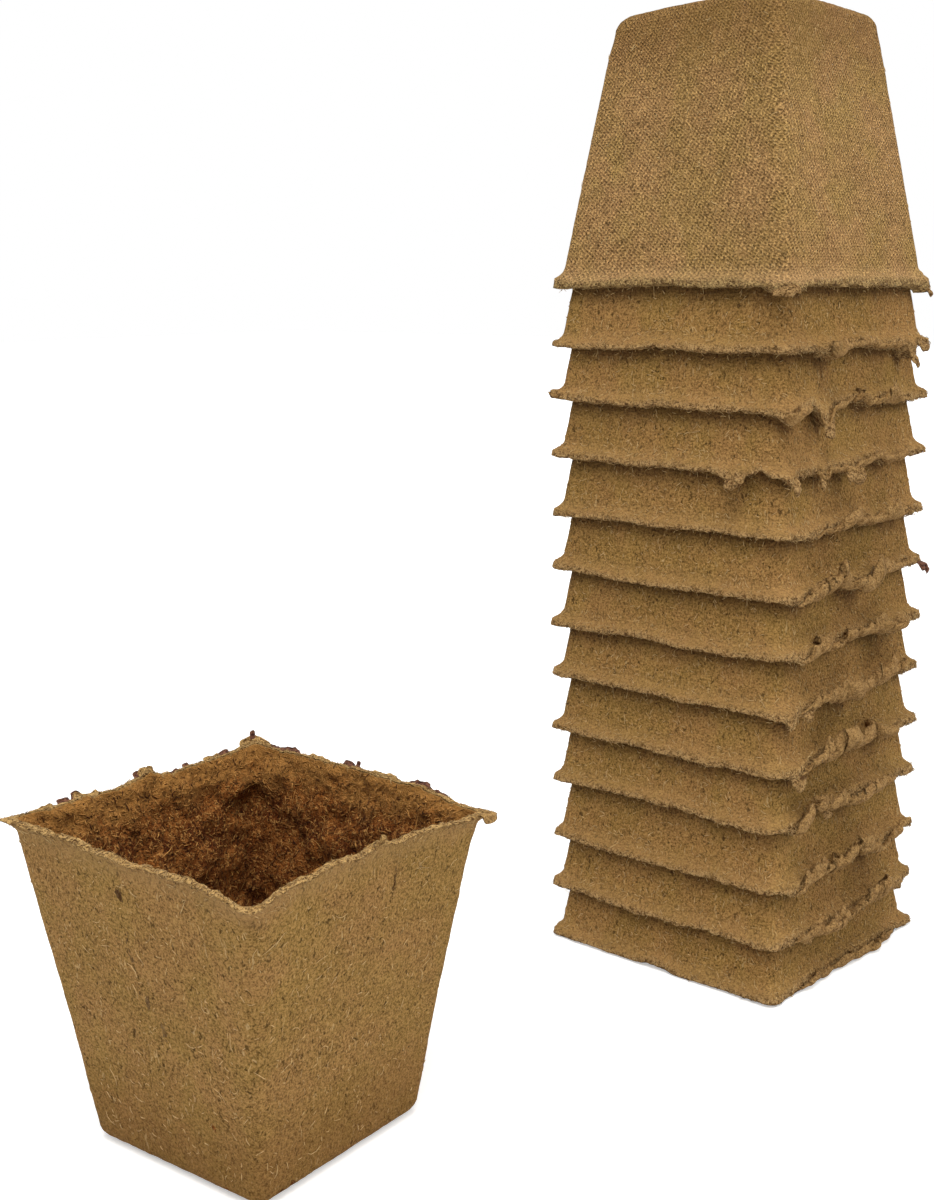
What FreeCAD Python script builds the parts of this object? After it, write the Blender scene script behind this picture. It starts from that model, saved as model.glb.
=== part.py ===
import FreeCAD, Part
import math
import os
import Sketcher

# Set of square tapered pots pressed from peat and wood fibre.
# One pot stands upright and open, and the others are nested upside down in a tall stack behind it.
# Every pot comes out of the same mould: a hollow block with sloping walls, a rounded foot
# and a thin lip that stands out around the mouth. No two pots are joined.
# Millimetres, +Z up. The origin is the middle of the whole set, on the surface that it stands on.
# The walls of the standing pot run along X and Y, and the stack is turned a little about Z.

# Driving sizes, in millimetres and degrees
SIZES = {
    # one pot
    "rim_width": 80.0,           # across the outer walls at the mouth
    "base_width": 56.0,          # across the outer walls at the foot
    "pot_height": 80.0,          # foot to mouth
    "wall_thickness": 2.1,       # measured level
    "floor_thickness": 2.5,
    "corner_radius": 5.0,        # the four upright corners, outside and inside
    "lip_reach": 2.0,            # how far the lip stands out from the wall
    "lip_thickness": 1.6,
    "lip_corner_radius": 2.5,
    # the stack
    "nest_gap": 0.3,             # level gap between one wall and the next at the tightest
    "seat_slack": 2.5,           # most that rough fibre holds a pot above its tightest seat
    "stack_turn": -4.5,          # about Z, from the standing pot
    "stack_shift_x": 35.0,       # stack's middle from the standing pot's middle
    "stack_gap_y": 90.0,         # clear space between the two mouths before the turn
    # cuts
    "cut_overrun": 1.0,          # how far the hollow's cutter runs past the mouth
}

# The roundings that follow another size, as shares of it
FOOT_ROUND_SHARE = 0.9           # of the corner radius, around the foot
HOLLOW_ROUND_SHARE = 0.75        # of the corner radius, around the floor inside
LIP_ROUND_SHARE = 0.7            # of the lip's reach, under the lip

# How much of the seat slack each pot of the stack takes up above the one below it,
# from the second pot to the top one
SLACK_SHARES = (0.0, 0.1, 1.0, 0.1, 0.35, 0.0, 0.35, 0.45, 0.5, 0.6, 0.1, 0.55)

STANDING_POT = "standing_pot"
STACK_POT = "stack_pot_{:02d}"

HALF_TURN = 180
QUARTER_TURN = 90
NEAR = 0.001                     # two levels or edges closer than this are the same one

# Levels above a pot's foot, and sizes, all worked out from the sheet
FOOT = "0"
FLOOR_TOP = "Sizes.floor_thickness"
MOUTH = "Sizes.pot_height"
WALL_SLOPE = "(Sizes.rim_width - Sizes.base_width) / 2 / Sizes.pot_height"
NEST_PITCH = f"(Sizes.wall_thickness + Sizes.nest_gap) / ({WALL_SLOPE})"
LIP_HALF = "(Sizes.rim_width / 2 + Sizes.lip_reach)"
LIP_UNDERSIDE = "(Sizes.pot_height - Sizes.lip_thickness)"
CUTTER_TOP = "(Sizes.pot_height + Sizes.cut_overrun)"
LIP_FLAT = f"({LIP_HALF} - Sizes.lip_corner_radius)"
TURN_SPREAD = "(cos(Sizes.stack_turn * 1deg) + abs(sin(Sizes.stack_turn * 1deg)))"
STACK_HALF = f"({LIP_FLAT} * {TURN_SPREAD} + Sizes.lip_corner_radius)"
STACK_SHIFT_Y = f"(2 * {LIP_HALF} + Sizes.stack_gap_y)"


def wall_half(level):
    """Half the width across the outer walls at a level above the foot."""
    return f"(Sizes.base_width / 2 + ({WALL_SLOPE}) * {level})"


def hollow_half(level):
    """Half the width of the hollow at a level above the foot."""
    return f"({wall_half(level)} - Sizes.wall_thickness)"


def middle_offset(shift):
    """Where the standing pot's middle lies when the set's own middle is at zero."""
    low = f"min(-{LIP_HALF}; {shift} - {STACK_HALF})"
    high = f"max({LIP_HALF}; {shift} + {STACK_HALF})"
    return f"(-({low} + {high}) / 2)"


def make_sheet(doc):
    """The spreadsheet that holds every driving size under its own name."""
    sheet = doc.addObject("Spreadsheet::Sheet", "Sizes")
    for row, (name, value) in enumerate(SIZES.items(), start=1):
        sheet.set(f"A{row}", name)
        sheet.set(f"B{row}", str(value))
        sheet.setAlias(f"B{row}", name)
    doc.recompute()
    return sheet


def origin_plane(body, role):
    """One of the body's own origin planes."""
    return next(item for item in body.Origin.OriginFeatures if item.Role == role)


def rounded_square(body, name, level, half, radius):
    """A level sketch of a square with rounded corners, centred on the pot's axis."""
    sketch = body.newObject("Sketcher::SketchObject", name)
    sketch.AttachmentSupport = (origin_plane(body, "XY_Plane"), [""])
    sketch.MapMode = "FlatFace"
    sketch.setExpression("AttachmentOffset.Base.z", level)

    reach = float(sketch.evalExpression(half))
    bend = float(sketch.evalExpression(radius))
    flat = reach - bend
    quarter = math.radians(QUARTER_TURN)
    sides = []
    bends = []
    for turn in range(4):
        spin = FreeCAD.Rotation(FreeCAD.Vector(0, 0, 1), QUARTER_TURN * turn)
        start = spin.multVec(FreeCAD.Vector(-flat, -reach, 0))
        end = spin.multVec(FreeCAD.Vector(flat, -reach, 0))
        centre = spin.multVec(FreeCAD.Vector(flat, -flat, 0))
        circle = Part.Circle(centre, FreeCAD.Vector(0, 0, 1), bend)
        sides.append(sketch.addGeometry(Part.LineSegment(start, end)))
        first = (turn - 1) * quarter
        bends.append(sketch.addGeometry(Part.ArcOfCircle(circle, first, first + quarter)))

    hold = sketch.addConstraint
    for turn in range(4):
        following = sides[(turn + 1) % 4]
        hold(Sketcher.Constraint("Tangent", sides[turn], 2, bends[turn], 1))
        hold(Sketcher.Constraint("Tangent", bends[turn], 2, following, 1))
        level_side = turn % 2 == 0
        hold(Sketcher.Constraint("Horizontal" if level_side else "Vertical", sides[turn]))
    for bend_edge in bends[1:]:
        hold(Sketcher.Constraint("Equal", bends[0], bend_edge))
    radius_hold = hold(Sketcher.Constraint("Radius", bends[0], bend))
    sketch.setExpression(f"Constraints[{radius_hold}]", radius)

    bottom, right, top, left = sides
    for kind, low, high in (
        ("DistanceY", (bottom, 1), (-1, 1)),
        ("DistanceX", (-1, 1), (right, 1)),
        ("DistanceY", (-1, 1), (top, 1)),
        ("DistanceX", (left, 1), (-1, 1)),
    ):
        width_hold = hold(Sketcher.Constraint(kind, *low, *high, reach))
        sketch.setExpression(f"Constraints[{width_hold}]", half)
    return sketch


def wedge(body, kind, name, low, high, half):
    """A square block with sloping sides between two levels, added to the pot or cut from it."""
    feature = body.newObject(kind, name)
    feature.AttachmentSupport = (origin_plane(body, "XZ_Plane"), [""])
    feature.MapMode = "FlatFace"
    feature.setExpression("Ymin", low)
    feature.setExpression("Ymax", high)
    for side in ("X", "Z"):
        feature.setExpression(f"{side}min", "-" + half(low))
        feature.setExpression(f"{side}max", half(low))
        feature.setExpression(f"{side}2min", "-" + half(high))
        feature.setExpression(f"{side}2max", half(high))
    body.Document.recompute()
    return feature


def edges_from(feature, low, half):
    """Names of the sloping edges that rise from a level, no further out than a half width."""
    height = float(feature.evalExpression(low))
    reach = float(feature.evalExpression(half(low))) + NEAR
    names = []
    for index, edge in enumerate(feature.Shape.Edges, start=1):
        box = edge.BoundBox
        foot = min((corner.Point for corner in edge.Vertexes), key=lambda point: point.z)
        rises = box.ZLength > NEAR and abs(foot.z - height) < NEAR
        if rises and max(abs(foot.x), abs(foot.y)) < reach:
            names.append(f"Edge{index}")
    return names


def edges_at(feature, level, half):
    """Names of the level edges at a height, no further out than a half width."""
    height = float(feature.evalExpression(level))
    reach = float(feature.evalExpression(half(level))) + NEAR
    names = []
    for index, edge in enumerate(feature.Shape.Edges, start=1):
        box = edge.BoundBox
        if box.ZLength > NEAR or abs(box.ZMin - height) > NEAR:
            continue
        if max(-box.XMin, box.XMax, -box.YMin, box.YMax) < reach:
            names.append(f"Edge{index}")
    return names


def fillet(body, name, base, edges, radius):
    """Round the named edges."""
    feature = body.newObject("PartDesign::Fillet", name)
    feature.Base = (base, edges)
    feature.setExpression("Radius", radius)
    body.Document.recompute()
    return feature


def mould_pot(doc, name):
    """One pot in its own frame: upright, its foot on the XY plane, its axis along Z."""
    body = doc.addObject("PartDesign::Body", name)
    body.Label = name
    corner = "Sizes.corner_radius"

    block = wedge(body, "PartDesign::AdditiveWedge", name + "_block", FOOT, MOUTH, wall_half)
    cornered = fillet(body, name + "_corners", block, edges_from(block, FOOT, wall_half), corner)
    foot_edges = edges_at(cornered, FOOT, wall_half)
    rounded = fillet(body, name + "_foot", cornered, foot_edges, f"{corner} * {FOOT_ROUND_SHARE}")

    ring = rounded_square(body, name + "_lip_edge", LIP_UNDERSIDE, LIP_HALF, "Sizes.lip_corner_radius")
    lip = body.newObject("PartDesign::Pad", name + "_lip")
    lip.Profile = ring
    lip.setExpression("Length", "Sizes.lip_thickness")
    doc.recompute()
    root_edges = edges_at(lip, LIP_UNDERSIDE, wall_half)
    flared = fillet(body, name + "_flare", lip, root_edges, f"Sizes.lip_reach * {LIP_ROUND_SHARE}")

    hollow = wedge(
        body, "PartDesign::SubtractiveWedge", name + "_hollow", FLOOR_TOP, CUTTER_TOP, hollow_half
    )
    if hollow.Shape.Volume >= flared.Shape.Volume:
        raise RuntimeError(f"{name}: the hollow cut nothing")
    inner_edges = edges_from(hollow, FLOOR_TOP, hollow_half)
    hollow_cornered = fillet(body, name + "_hollow_corners", hollow, inner_edges, corner)
    floor_edges = edges_at(hollow_cornered, FLOOR_TOP, hollow_half)
    floor_round = f"{corner} * {HOLLOW_ROUND_SHARE}"
    body.Tip = fillet(body, name + "_hollow_floor", hollow_cornered, floor_edges, floor_round)
    return body


def stand_upright(body):
    """The open pot stands on its foot."""
    body.setExpression("Placement.Base.x", middle_offset("Sizes.stack_shift_x"))
    body.setExpression("Placement.Base.y", middle_offset(STACK_SHIFT_Y))


def nest_upturned(body, index, sheet):
    """A pot of the stack hangs upside down over the one below it."""
    # Half a turn about a level axis upends the pot, and half of the stack's turn in that
    # axis turns the upended pot about Z by the whole of it.
    lean = math.radians(sheet.stack_turn) / 2
    axis = FreeCAD.Vector(math.cos(lean), math.sin(lean), 0)
    body.Placement = FreeCAD.Placement(FreeCAD.Vector(), FreeCAD.Rotation(axis, HALF_TURN))
    slack = sum(SLACK_SHARES[:index])
    rim_level = f"{index} * {NEST_PITCH} + {slack:g} * Sizes.seat_slack"
    middle_x = f"Sizes.stack_shift_x + {middle_offset('Sizes.stack_shift_x')}"
    middle_y = f"{STACK_SHIFT_Y} + {middle_offset(STACK_SHIFT_Y)}"
    body.setExpression("Placement.Base.x", middle_x)
    body.setExpression("Placement.Base.y", middle_y)
    body.setExpression("Placement.Base.z", f"{rim_level} + Sizes.pot_height")


def check(doc, bodies):
    """Stop if a feature failed or a pot isn't one sound solid."""
    for item in doc.Objects:
        if "Invalid" in item.State or "Error" in item.State:
            raise RuntimeError(f"{item.Label} failed: {item.State}")
    for body in bodies:
        shape = body.Shape
        if shape.isNull() or not shape.isValid() or len(shape.Solids) != 1:
            raise RuntimeError(f"{body.Label} isn't one sound solid")


def main():
    doc = FreeCAD.newDocument("peat_pots")
    sheet = make_sheet(doc)

    standing = mould_pot(doc, STANDING_POT)
    stand_upright(standing)
    bodies = [standing]
    for index in range(len(SLACK_SHARES) + 1):
        pot = mould_pot(doc, STACK_POT.format(index + 1))
        nest_upturned(pot, index, sheet)
        bodies.append(pot)
    doc.recompute()
    check(doc, bodies)

    os.makedirs("parts", exist_ok=True)
    for body in bodies:
        body.Shape.exportStep(f"parts/{body.Label}.step")
        print(f"{body.Label}: {body.Shape.Volume:.0f} mm3")


main()
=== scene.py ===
import math
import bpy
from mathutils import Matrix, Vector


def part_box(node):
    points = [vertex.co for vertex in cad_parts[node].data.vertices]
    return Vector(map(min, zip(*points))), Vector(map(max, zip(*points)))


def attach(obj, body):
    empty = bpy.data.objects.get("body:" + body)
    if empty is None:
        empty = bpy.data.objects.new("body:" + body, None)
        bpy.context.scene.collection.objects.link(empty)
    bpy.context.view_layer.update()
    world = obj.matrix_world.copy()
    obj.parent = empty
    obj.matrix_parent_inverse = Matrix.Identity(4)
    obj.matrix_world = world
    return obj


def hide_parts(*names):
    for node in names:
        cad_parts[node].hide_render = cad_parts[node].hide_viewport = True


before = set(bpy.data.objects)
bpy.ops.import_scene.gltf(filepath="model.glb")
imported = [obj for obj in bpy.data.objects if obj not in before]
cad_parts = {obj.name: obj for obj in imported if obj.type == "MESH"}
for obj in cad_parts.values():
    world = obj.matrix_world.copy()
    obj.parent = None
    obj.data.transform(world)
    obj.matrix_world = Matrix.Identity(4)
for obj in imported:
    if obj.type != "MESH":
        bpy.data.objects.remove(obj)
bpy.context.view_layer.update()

from types import SimpleNamespace

import bpy
import numpy as np
from mathutils import Matrix, Vector

# One millimetre in metres
MM = 0.001

# Sizes of one pot, in millimetres
RIM_HALF = 40.0
BASE_HALF = 28.0
HEIGHT = 80.0
WALL = 2.1
FLOOR = 2.5
CORNER = 4.4
INNER_CORNER = 3.75
FOOT_ROUND = 4.5
FOOT_CORNER = CORNER * 0.4 + 0.1
SIDE = RIM_HALF * 2
STACK_TURN = math.radians(-4.5)

# The lip: the wall flares out to it, and it ends in a torn face
KNEE = 1.9
INNER_FLARE_DEPTH = 6.5
EDGE_ROUND = 0.45
LIP_ROWS = 9

# Depths under the mouth below which the rows of a wall get wider apart
LIP_DEPTH = 6.0
BAND_DEPTH = 22.0

# Depths over which the rim's sway, its hanging places and its ragged edge die away
SWAY_DEPTH = 9.0
HANG_DEPTH = 3.2
RAG_DEPTH = 1.2

# Zones of a pot's surface, and columns of its table of rows
OUTSIDE, TORN, INSIDE = 0, 1, 2
LEVEL, DEPTH, ZONE = 2, 3, 5

# A torn place wider than this bends the whole lip
WIDE_TEAR = 8.0

# Torn strips: the step between points, the stretch of the relief of hanging and of folded ones, and
# how much of the torn lip's colour a folded one shows
STRIP_STEP = 0.4
SHAGGY = (1, 2.6, 0.8)
LAYERED = (1, 3.2, 0.7)
LEDGE_EDGE = 0.58

STANDING = "standing_pot"
STACK = sorted(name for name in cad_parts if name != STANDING)
TOP_POT = STACK[-1]
BOTTOM_POT = STACK[0]


# Seeded noise
def lattice(cells, seed):
    """A fixed pseudo-random value from 0 to 1 for every whole-number cell."""
    x, y, z = np.moveaxis(cells, -1, 0)
    n = (x * 73856093) ^ (y * 19349663) ^ (z * 83492791) ^ (seed * 26544357)
    n = ((n ^ (n >> 13)) * 1274126177) & 0x7FFFFFFF
    n = ((n ^ (n >> 15)) * 668265263) & 0x7FFFFFFF
    return ((n >> 7) & 0xFFFF) / 65535.0


def noise(points, size, seed, stretch=(1, 1, 1)):
    """Smooth value noise from -1 to 1, with lumps about as large as size."""
    q = np.asarray(points, float) / (size * np.asarray(stretch, float))
    cells = np.floor(q).astype(np.int64)
    f = q - cells
    f = f * f * (3 - 2 * f)
    total = 0.0
    for corner in np.ndindex(2, 2, 2):
        weight = np.where(corner, f, 1 - f)
        weight = weight[..., 0] * weight[..., 1] * weight[..., 2]
        total = total + weight * lattice(cells + corner, seed)
    return total * 2 - 1


def smooth(x, low, high):
    """A soft step from 0 at low to 1 at high."""
    t = np.clip((x - low) / (high - low), 0, 1)
    return t * t * (3 - 2 * t)


def unit(vectors, least=1e-9):
    """Vectors made one long, where they are longer than the least length."""
    return vectors / np.maximum(np.linalg.norm(vectors, axis=-1, keepdims=True), least)


# The shape of one pot
def around(columns):
    """The side, turn, run along the side and place of each column round the outline.

    Places go from 0 in the middle of the corner at -X -Y by +X -Y, +X +Y and -X +Y to 4.
    """
    side_count = columns // 4
    half_arc = max(6, side_count // 14) / 2
    straight, arc = RIM_HALF * 2 - CORNER * 2, CORNER * math.pi / 4
    side_length = straight + 2 * arc
    rows = []
    for side in range(4):
        for k in range(side_count):
            left = k - (side_count - half_arc)
            if k < half_arc:
                turn, run, length = 45 + 45 * k / half_arc, 0.0, arc * k / half_arc
            elif left <= 0:
                run = (k - half_arc) / (side_count - 2 * half_arc)
                turn, length = 90, arc + straight * run
            else:
                turn, run = 90 + 45 * left / half_arc, 1.0
                length = arc + straight + arc * left / half_arc
            rows.append((side, turn, run, side + length / side_length))
    sides, turns, runs, places = np.array(rows, float).T
    return sides, np.radians(turns), runs, places


def outline(half, radius, columns):
    """Points of a rounded square."""
    sides, turns, runs, _ = columns
    half, radius = np.broadcast_to(half, sides.shape), np.broadcast_to(radius, sides.shape)
    core = half - radius
    # side 0 runs along +X at -Y: the first corner's centre is at -core, the last at +core
    x = -core + 2 * core * runs - radius * np.cos(turns)
    y = -core - radius * np.sin(turns)
    c, s = np.cos(sides * math.pi / 2), np.sin(sides * math.pi / 2)
    return c * x - s * y, s * x + c * y


def wall_half(z):
    """Half-width of the sloping wall's outside at a height."""
    return BASE_HALF + (RIM_HALF - BASE_HALF) * z / HEIGHT


def spread(start, end, step):
    """Even values after start up to end, about one step apart."""
    count = max(1, int(round(abs(end - start) / step)))
    return np.linspace(start, end, count + 1)[1:]


def along_rim(places, where):
    """Millimetres along the rim from places to one of them."""
    return np.abs((places - where + 2) % 4 - 2) * SIDE


def profile_row(half, radius, z, across=0.0, zone=OUTSIDE):
    """Half-width, corner radius, height, depth, share of the way over the torn face, zone."""
    return half, min(radius, half * 0.96), z, HEIGHT - z, across, zone


def outside_rows(rim, band, wall, foot):
    """Rows from the middle of the foot up the outside to the lip."""
    foot_half = wall_half(FOOT_ROUND) - FOOT_ROUND
    rows = [profile_row(half, FOOT_CORNER, 0.0) for half in spread(0.0, foot_half, foot)]
    for a in np.radians(spread(0, 90, 15)):
        half = foot_half + FOOT_ROUND * math.sin(a)
        radius = CORNER * (0.45 + 0.55 * math.sin(a))
        rows.append(profile_row(half, radius, FOOT_ROUND * (1 - math.cos(a))))
    levels = [FOOT_ROUND, HEIGHT - BAND_DEPTH, HEIGHT - LIP_DEPTH, HEIGHT - EDGE_ROUND]
    for start, end, step in zip(levels, levels[1:], (wall, band, rim)):
        rows += [profile_row(wall_half(z), CORNER, z) for z in spread(start, end, step)]
    return rows


def torn_rows():
    level = HEIGHT - EDGE_ROUND
    return [profile_row(RIM_HALF, CORNER, level, across, TORN) for across in spread(0, 1, 1 / LIP_ROWS)]


def inside_rows(rim, band, wall, foot):
    """Rows from the lip down the inside to the middle of the floor."""
    rows = []
    levels = [HEIGHT, HEIGHT - LIP_DEPTH, HEIGHT - BAND_DEPTH, FLOOR + INNER_CORNER]
    for start, end, step in zip(levels, levels[1:], (rim * 1.3, band, wall)):
        for z in spread(start, end, step):
            rows.append(profile_row(wall_half(z) - WALL, INNER_CORNER, z, zone=INSIDE))
    top = wall_half(FLOOR + INNER_CORNER) - WALL
    for a in np.radians(spread(90, 0, 18)):
        half = top - INNER_CORNER * (1 - math.cos(math.pi / 2 - a))
        radius = INNER_CORNER * (0.4 + 0.6 * math.sin(a))
        z = FLOOR + INNER_CORNER * (1 - math.sin(a))
        rows.append(profile_row(half, radius, z, zone=INSIDE))
    for half in spread(top - INNER_CORNER, 1.2, foot):
        rows.append(profile_row(half, INNER_CORNER * 0.4, FLOOR, zone=INSIDE))
    return rows


def profile(steps):
    """Table of rows from foot to floor. The steps are for lip, band under it, wall and foot."""
    return np.array(outside_rows(*steps) + torn_rows() + inside_rows(*steps))


def grid_normals(grid):
    """Normals of a grid whose columns go round and whose rows go from foot to floor."""
    along = np.roll(grid, -1, 1) - np.roll(grid, 1, 1)
    return unit(np.cross(along, np.gradient(grid, axis=0)))


def grid_quads(ids):
    """Quads between neighbours in a grid of point numbers."""
    corners = [ids[:-1, :-1], ids[:-1, 1:], ids[1:, 1:], ids[1:, :-1]]
    return np.stack(corners, -1).reshape(-1, 4)


# Looks that a pot goes without unless it is given them
NO_LOOKS = {
    "wild": 0.0, "ear": 0.0, "near_corner": 0.0, "lump": 0.0, "wave": 0.0,
    "level": False, "features": (), "ridges": (), "foot_dips": (),
}


class Pot:
    """One pot's surface as a grid of points, in millimetres, standing on its foot.

    Looks of the rim: its reach (with an ear at each corner), corner radius (near_corner is added
    at the near one), depth of flare and knee, sway, rag, how wild its right side is, its hollow's
    opening, whether it lies level on the ground, and torn places as features. Of the surface:
    crumble near the rim, lumps and ridges inside, wave of the walls, and dips of the foot.
    """

    def __init__(self, node, columns, steps, seed, upturned, **looks):
        self.node = node
        self.seed = seed
        self.upturned = upturned
        self.above = None
        self.looks = SimpleNamespace(**{**NO_LOOKS, **looks})
        low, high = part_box(node)
        self.axis = ((low + high) / 2).xy / MM
        self.rim_level = low.z / MM if upturned else low.z / MM + HEIGHT
        self.turn = STACK_TURN if upturned else 0.0
        self.columns = around(columns)
        self.places = self.columns[3]
        self.rows = profile(steps)
        self.lip = self.rim()
        self.shape()

    def rim(self):
        """How the lip changes from column to column."""
        looks, seed, places = self.looks, self.seed, self.places
        x, y = outline(RIM_HALF + 2.0, 3.0, self.columns)
        p = np.stack([x, y, np.zeros_like(x)], -1)
        wild = 1 + looks.wild * np.exp(-(((places - 1.5) / 0.42) ** 4))
        near = np.exp(-(((places - 1) * SIDE / 12) ** 2))
        from_corner = np.abs(places - np.round(places)) * SIDE
        bite = np.clip(noise(p, 2.8, seed + 8) - 0.45, 0, 1)
        rag = 0.45 * noise(p, 3.4, seed + 5) + 0.6 * noise(p, 1.25, seed + 6)
        sway = looks.sway * noise(p, 21, seed + 3)
        reach = looks.reach + 0.3 * noise(p, 13, seed + 1) + 0.25 * noise(p, 4.5, seed + 2) * wild
        reach = reach + 0.45 * (wild - 1) * (0.6 + 0.7 * noise(p, 10, seed + 13))
        lip = SimpleNamespace(
            reach=reach + looks.ear * np.exp(-((from_corner / 4.0) ** 2)),
            sway=sway + 0.45 * looks.sway * noise(p, 8, seed + 4),
            rag=looks.rag * (rag * wild - 2.0 * bite),
            knee=KNEE * looks.knee * (1 + 0.3 * noise(p, 11, seed + 7)) * (0.45 + 0.55 * wild),
            thick=0.3 * noise(p, 3.1, seed + 9),
            hang=0.75 * (wild - 1) * noise(p, 6.5, seed + 12),
            curl=0.3 * noise(p, 9, seed + 10),
            corner=looks.corner + looks.near_corner * near,
        )
        self.tear(lip, 1 + 0.45 * noise(p, 1.6, seed + 11))
        lip.height = lip.sway + lip.rag + lip.hang
        if looks.level:
            lip.height = np.minimum(lip.height - 0.4, 0.0)
        return lip

    def tear(self, lip, uneven):
        """Add the torn places, each a bell along the rim."""
        for where, width, hang, out, roll in self.looks.features:
            bell = np.exp(-((along_rim(self.places, where) / width) ** 2))
            if width > WIDE_TEAR:
                lip.sway = lip.sway + hang * bell
            else:
                lip.hang = lip.hang + hang * bell * uneven
            lip.reach = lip.reach + out * bell
            lip.curl = lip.curl + roll * bell
            lip.knee = lip.knee + 0.45 * max(out, 0) * bell

    def per_point(self, values):
        """A value per row, for all its points."""
        return np.repeat(values[:, None], len(self.places), 1)

    def shape(self):
        """Work out the surface: the drawn shape, then waves, rough skin and the foot's dips."""
        self.depths = self.per_point(self.rows[:, DEPTH])
        self.inside = self.per_point(self.rows[:, ZONE] == INSIDE).astype(float)
        torn = self.per_point(self.rows[:, ZONE] == TORN).astype(float)
        near = np.clip(1.25 - self.depths / self.lip.knee[None] * 0.75, 0, 1) * (1 - torn) + torn
        drawn = self.drawn()
        normal = grid_normals(drawn)
        grid = drawn + self.waves(drawn, normal) + normal * self.relief(drawn, near)[..., None]
        self.grid = self.dipped(grid)
        self.normal = grid_normals(self.grid)
        self.edge = np.maximum(torn, near * (1 - self.inside))

    def drawn(self):
        """The grid with the lip's shape, still without rough skin."""
        looks, lip = self.looks, self.lip
        grid = np.zeros((len(self.rows), len(self.places), 3))
        for j, (half, radius, z, depth, t, zone) in enumerate(self.rows):
            share = np.clip((looks.flare + lip.knee - depth) / looks.flare, 0, 1) ** 2.2
            sway, hang, rag = (math.exp(-((depth / d) ** 2)) for d in (SWAY_DEPTH, HANG_DEPTH, RAG_DEPTH))
            lift = lip.sway * sway + lip.hang * hang + lip.rag * rag
            if looks.level:
                lift = np.minimum(lift, 0.0)
            if zone == TORN:
                inner = RIM_HALF - WALL + looks.opening + lip.thick
                outer = RIM_HALF + lip.reach + 0.1
                x, y = outline(outer + (inner - outer) * t, lip.corner, self.columns)
                level = HEIGHT - EDGE_ROUND * (1 - t) ** 2.5 + lip.height - lip.curl * (1 - t)
            elif zone == INSIDE:
                open_share = max(0.0, 1 - depth / INNER_FLARE_DEPTH) ** 2
                bend = radius + (lip.corner - INNER_CORNER) * open_share
                x, y = outline(half + (looks.opening + lip.thick) * open_share, bend, self.columns)
                level = z + lift
            else:
                bend = np.maximum(radius + (lip.corner - CORNER) * share, 0.05)
                x, y = outline(half + lip.reach * share, bend, self.columns)
                level = z + lift - lip.curl * share**2
            grid[j] = np.stack([x, y, level], -1)
        return grid

    def waves(self, grid, normal):
        """Slow swelling of the walls, outside and inside alike."""
        if not self.looks.wave:
            return 0.0
        outward = normal * np.where(self.inside > 0, -1.0, 1.0)[..., None]
        outward[..., 2] = 0
        swell = self.looks.wave * noise(grid, 30, self.seed + 27) * smooth(grid[..., 2], 3, 20)
        return outward * swell[..., None]

    def relief(self, grid, near):
        """How far the rough skin stands out. Hollows under other pots get no higher than drawn."""
        looks, seed = self.looks, self.seed
        grain = 0.55 * noise(grid, 1.0, seed + 22) + 0.45 * noise(grid, 2.2, seed + 23)
        move = 0.07 * noise(grid, 2.4, seed + 20) + 0.06 * noise(grid, 1.1, seed + 21) - 0.05
        move = move + looks.crumble * grain * near
        deep = self.inside * (1 - np.exp(-((self.depths / 1.6) ** 2)))
        if looks.lump:
            move = move + self.lumps(grid, deep)
            for ridge in looks.ridges:
                move = move + self.ridge(*ridge)
        else:
            move = np.where(deep > 0.3, np.minimum(move, 0.0), move)
        if looks.level:
            move = move * (1 - 0.4 * near)
        return move

    def lumps(self, grid, deep):
        seed = self.seed
        hills = 0.55 * noise(grid, 10.0, seed + 24) + 0.85 * noise(grid, 4.4, seed + 25)
        folds = 0.5 - np.abs(noise(grid, 2.7, seed + 26))
        hills = hills + 0.6 * folds + 0.3 * noise(grid, 1.5, seed + 28)
        return deep * self.looks.lump * (hills - 0.1)

    def ridge(self, where, width, depth, tall, rise):
        """A ridge or hollow of the inside, sagging to both sides of its middle."""
        gap = along_rim(self.places, where)[None]
        drop = self.depths - depth - 0.03 * gap**2
        return self.inside * rise * np.exp(-((gap / width) ** 2) - (drop / tall) ** 2)

    def dipped(self, grid):
        """The grid with the foot pressed in at some of its corners."""
        off_foot = np.abs(self.rows[:, LEVEL] - FOOT_ROUND) + (self.rows[:, ZONE] == INSIDE) * HEIGHT
        for where, fall in self.looks.foot_dips:
            corner = grid[np.argmin(off_foot), np.argmin(np.abs(self.places - where)), :2]
            toward = np.clip(grid[..., :2] @ corner / (corner @ corner), 0, 1) ** 2.5
            grid[..., 2] = grid[..., 2] + fall * toward * (1 - smooth(grid[..., 2], 2, 18))
        return grid

    def placed(self, points):
        """Points put where the node is, in millimetres."""
        x, y, z = np.moveaxis(points, -1, 0)
        z = self.rim_level + (HEIGHT - z) if self.upturned else self.rim_level - HEIGHT + z
        c, s = math.cos(self.turn), math.sin(self.turn)
        x, y = self.axis[0] + c * x - s * y, self.axis[1] + s * x + c * y
        return np.stack([x, y, np.maximum(z, 0.0)], -1)

    def faces(self):
        """Quads of the grid, then triangles round the middle of foot and floor."""
        rows, count = self.grid.shape[:2]
        ids = np.arange(rows * count).reshape(rows, count)
        quads = grid_quads(np.hstack([ids, ids[:, :1]]))
        after = np.roll(ids, -1, 1)
        start = np.stack([after[0], ids[0], np.full(count, ids.size)], -1)
        end = np.stack([ids[-1], after[-1], np.full(count, ids.size + 1)], -1)
        turn = -1 if self.upturned else 1
        return [face for part in (quads, start, end) for face in part[:, ::turn].tolist()]

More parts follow.
